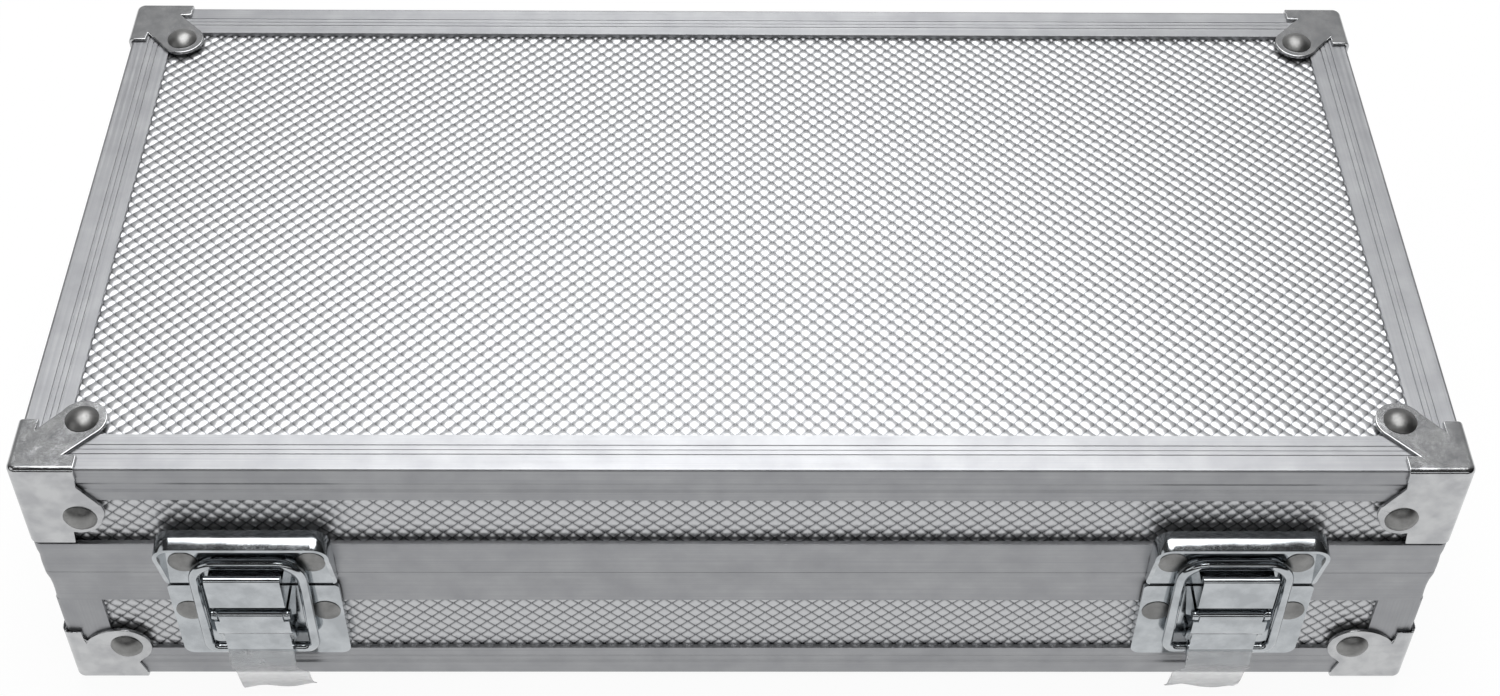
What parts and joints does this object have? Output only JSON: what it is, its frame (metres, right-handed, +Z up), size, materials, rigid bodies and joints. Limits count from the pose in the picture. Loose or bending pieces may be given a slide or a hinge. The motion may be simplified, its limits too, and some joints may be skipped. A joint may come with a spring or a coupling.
{
  "type": "poker chip case",
  "caption": "Flat aluminium-framed carrying case with embossed silver panels, riveted corner guards and draw latches; opens on rear hinges to a flocked tray for poker chips, cards and dice.",
  "frame": {"origin": "centre of the case's outline on the plane that its foot rivets stand on", "axes": "+X along the case's length to the right, +Y from the latches in front to the hinges at the back, +Z up"},
  "size_m": [0.2934, 0.1612, 0.0729],
  "materials": {
    "fibreboard": "raw hardboard, hidden between skin and lining",
    "embossed_sheet": "silver embossed laminate with a fine diamond pattern",
    "edging_aluminium": "satin extruded aluminium with fine lengthwise ribs",
    "rim_aluminium": "satin extruded aluminium",
    "guard_steel": "pressed steel with bright nickel plate",
    "rivet_nickel": "domed rivet heads, bright nickel",
    "latch_chrome": "bright chrome plate",
    "protective_film": "clear protective film, slightly milky",
    "hinge_steel": "zinc plated steel",
    "flocked_tray": "black flocked foam",
    "lining_felt": "black felt over thin foam"
  },
  "bodies": {
    "base": {"base_front_board": "fibreboard", "base_back_board": "fibreboard", "base_left_board": "fibreboard", "base_right_board": "fibreboard", "base_floor_board": "fibreboard", "base_wall_skins": "embossed_sheet", "base_floor_skin": "embossed_sheet", "base_front_edging": "edging_aluminium", "base_back_edging": "edging_aluminium", "base_left_edging": "edging_aluminium", "base_right_edging": "edging_aluminium", "base_corner_posts": "edging_aluminium", "base_rim": "rim_aluminium", "base_guard_front_left": "guard_steel", "base_guard_front_right": "guard_steel", "base_guard_back_left": "guard_steel", "base_guard_back_right": "guard_steel", "base_corner_rivets": "rivet_nickel", "foot_rivets": "rivet_nickel", "latch_plate_left": "latch_chrome", "latch_plate_right": "latch_chrome", "latch_rivets": "rivet_nickel", "latch_pins": "latch_chrome", "hinge_base_leaf_left": "hinge_steel", "hinge_base_leaf_right": "hinge_steel", "hinge_base_rivets": "rivet_nickel", "hinge_pins": "hinge_steel", "chip_tray": "flocked_tray"},
    "lid": {"lid_front_board": "fibreboard", "lid_back_board": "fibreboard", "lid_left_board": "fibreboard", "lid_right_board": "fibreboard", "lid_top_board": "fibreboard", "lid_wall_skins": "embossed_sheet", "lid_top_skin": "embossed_sheet", "lid_front_edging": "edging_aluminium", "lid_back_edging": "edging_aluminium", "lid_left_edging": "edging_aluminium", "lid_right_edging": "edging_aluminium", "lid_corner_posts": "edging_aluminium", "lid_rim": "rim_aluminium", "lid_guard_front_left": "guard_steel", "lid_guard_front_right": "guard_steel", "lid_guard_back_left": "guard_steel", "lid_guard_back_right": "guard_steel", "lid_corner_rivets": "rivet_nickel", "catch_plate_left": "latch_chrome", "catch_plate_right": "latch_chrome", "catch_rivets": "rivet_nickel", "hinge_lid_leaf_left": "hinge_steel", "hinge_lid_leaf_right": "hinge_steel", "hinge_lid_rivets": "rivet_nickel", "lid_lining": "lining_felt"},
    "lever_left": {"latch_lever_left": "latch_chrome", "lever_film_left": "protective_film"},
    "loop_left": {"latch_loop_left": "latch_chrome"},
    "lever_right": {"latch_lever_right": "latch_chrome", "lever_film_right": "protective_film"},
    "loop_right": {"latch_loop_right": "latch_chrome"}
  },
  "joints": [
    {"name": "lid_hinge", "type": "hinge", "parent": "base", "child": "lid", "pos_m": [0, 0.0756, 0.0385], "axis": [-1, 0, 0], "range_deg": [0, 100]},
    {"name": "latch_left", "type": "hinge", "parent": "base", "child": "lever_left", "pos_m": [-0.1016, -0.079, 0.0319], "axis": [-1, 0, 0], "range_deg": [0, 72]},
    {"name": "loop_left", "type": "hinge", "parent": "lever_left", "child": "loop_left", "pos_m": [-0.1016, -0.0766, 0.0171], "axis": [-1, 0, 0], "range_deg": [-36, 0]},
    {"name": "latch_right", "type": "hinge", "parent": "base", "child": "lever_right", "pos_m": [0.1016, -0.079, 0.0319], "axis": [-1, 0, 0], "range_deg": [0, 72]},
    {"name": "loop_right", "type": "hinge", "parent": "lever_right", "child": "loop_right", "pos_m": [0.1016, -0.0766, 0.0171], "axis": [-1, 0, 0], "range_deg": [-36, 0]}
  ],
  "couplings": [
    {"joint": "loop_left", "follows": "latch_left", "ratio": -0.5},
    {"joint": "loop_right", "follows": "latch_right", "ratio": -0.5}
  ]
}
